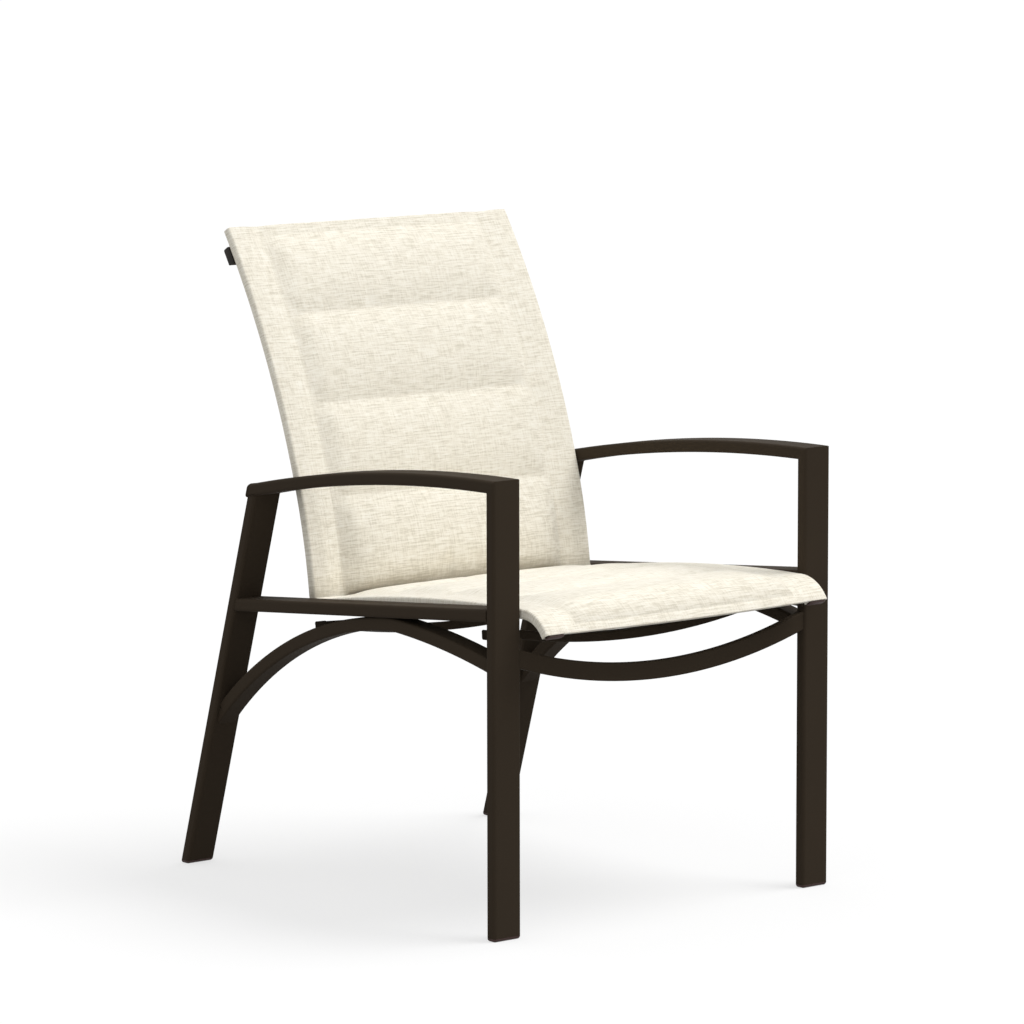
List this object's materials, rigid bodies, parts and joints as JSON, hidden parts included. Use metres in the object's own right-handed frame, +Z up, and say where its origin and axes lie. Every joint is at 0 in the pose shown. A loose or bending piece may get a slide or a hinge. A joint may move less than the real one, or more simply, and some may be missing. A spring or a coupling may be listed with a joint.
{
  "type": "sling patio chair",
  "caption": "Outdoor armchair with a flat-tube metal frame, arched side braces and a padded sling stretched on bent rails from the front of the seat to the top of the back.",
  "frame": {"origin": "on the floor, under the middle of the chair's overall width and length", "axes": "+Z up, +Y from the front of the chair to its back, +X from the left side to the right as seen from the front"},
  "size_m": [0.618, 0.7792, 0.9342],
  "materials": {
    "frame": "dark bronze powder coat, satin with a fine texture",
    "sling": "cream heathered outdoor sling weave, padded",
    "feet": "moulded dark brown plastic",
    "screws": "stainless button heads, dulled"
  },
  "bodies": {
    "root": {"front_leg_left": "frame", "front_leg_right": "frame", "arm_left": "frame", "arm_right": "frame", "arm_end_left": "frame", "arm_end_right": "frame", "rear_leg_left": "frame", "rear_leg_right": "frame", "side_rail_left": "frame", "side_rail_right": "frame", "side_arch_left": "frame", "side_arch_right": "frame", "front_stretcher": "frame", "seat_crossbar_front": "frame", "seat_crossbar_rear": "frame", "sling_rail_left": "frame", "sling_rail_right": "frame", "seat_sling": "sling", "back_sling": "sling", "rail_cap_front_left": "feet", "rail_cap_top_left": "feet", "rail_cap_front_right": "feet", "rail_cap_top_right": "feet", "back_crossbar": "frame", "back_crossbar_cap_left": "feet", "back_crossbar_cap_right": "feet", "back_screw_left": "screws", "back_screw_right": "screws", "rail_cleat_front_left": "frame", "rail_screw_front_left": "screws", "rail_cleat_rear_left": "frame", "rail_screw_rear_left": "screws", "rail_cleat_front_right": "frame", "rail_screw_front_right": "screws", "rail_cleat_rear_right": "frame", "rail_screw_rear_right": "screws", "front_crossbar_lug_left": "frame", "front_crossbar_lug_right": "frame", "rear_crossbar_cleat_left": "frame", "rear_crossbar_cleat_right": "frame", "front_glide_left": "feet", "rear_glide_left": "feet", "front_glide_right": "feet", "rear_glide_right": "feet"}
  },
  "joints": []
}
